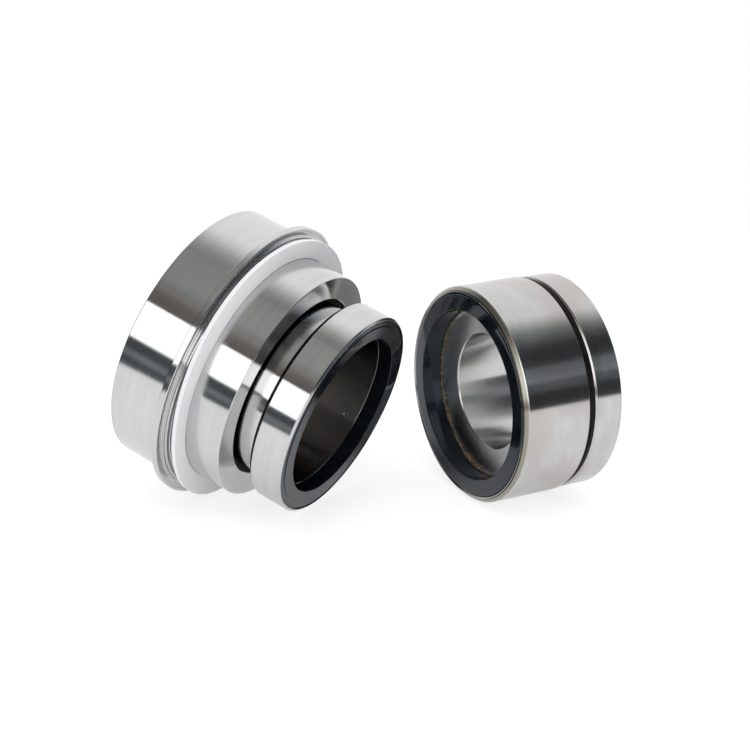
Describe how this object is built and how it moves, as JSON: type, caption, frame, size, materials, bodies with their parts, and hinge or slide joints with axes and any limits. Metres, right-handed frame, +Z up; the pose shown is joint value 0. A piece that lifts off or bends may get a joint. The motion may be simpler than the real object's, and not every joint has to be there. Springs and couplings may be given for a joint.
{
  "type": "component mechanical seal",
  "caption": "Shaft seal set: spring-loaded stationary head with flanged housing, flat gasket and floating lapped face, and a rotating mating ring lying beside it.",
  "frame": {"origin": "centre of the set's bounding box in X and Y, on the flat surface that both halves lie on", "axes": "+Z up; the mating ring's shaft axis runs along X, with its rear end towards +X and its lapped face towards -X; the head's axis is turned 57.2 degrees from +X towards -Y and dips 19.5 degrees"},
  "size_m": [0.191, 0.1558, 0.1241],
  "materials": {
    "polished_steel": "mirror-polished stainless steel",
    "satin_steel": "fine-turned satin stainless steel",
    "turned_steel": "turned stainless steel",
    "fastener_steel": "plain stainless steel",
    "spring_steel": "drawn wire and spring steel",
    "white_gasket": "white fluoropolymer sheet",
    "fibre": "pressed fibre sheet",
    "o_ring_rubber": "moulded rubber",
    "lapped_ceramic": "lapped dark silicon carbide"
  },
  "bodies": {
    "head": {"housing": "polished_steel", "gasket": "white_gasket", "back_plate": "turned_steel", "plate_gasket": "fibre", "plate_screw_1": "fastener_steel", "plate_screw_2": "fastener_steel", "plate_screw_3": "fastener_steel", "plate_screw_4": "fastener_steel", "plate_screw_5": "fastener_steel", "plate_screw_6": "fastener_steel", "drive_pin_1": "fastener_steel", "drive_pin_2": "fastener_steel", "head_o_ring": "o_ring_rubber", "spring_1": "spring_steel", "spring_2": "spring_steel", "spring_3": "spring_steel", "spring_4": "spring_steel", "spring_5": "spring_steel", "spring_6": "spring_steel", "spring_7": "spring_steel", "spring_8": "spring_steel"},
    "floating_face": {"face_carrier": "polished_steel", "face_ring": "lapped_ceramic", "thrust_ring": "turned_steel", "snap_ring": "spring_steel", "grub_screw_1": "fastener_steel", "grub_screw_2": "fastener_steel", "grub_screw_3": "fastener_steel"},
    "mating_ring": {"seat_holder": "satin_steel", "seat_ring": "lapped_ceramic", "seat_o_ring": "o_ring_rubber"}
  },
  "joints": [
    {"name": "face_float", "type": "slide", "parent": "head", "child": "floating_face", "axis": [0.5106, -0.7923, -0.334], "range_m": [-0.003, 0], "stiffness_N_per_m": 10000, "springref_m": 0.003, "deforming": ["spring_1", "spring_2", "spring_3", "spring_4", "spring_5", "spring_6", "spring_7", "spring_8"]},
    {"name": "ring_turn", "type": "hinge", "parent": "head", "child": "mating_ring", "pos_m": [0.07132, -0.03094, 0.047], "axis": [1, 0, 0], "continuous": true}
  ]
}
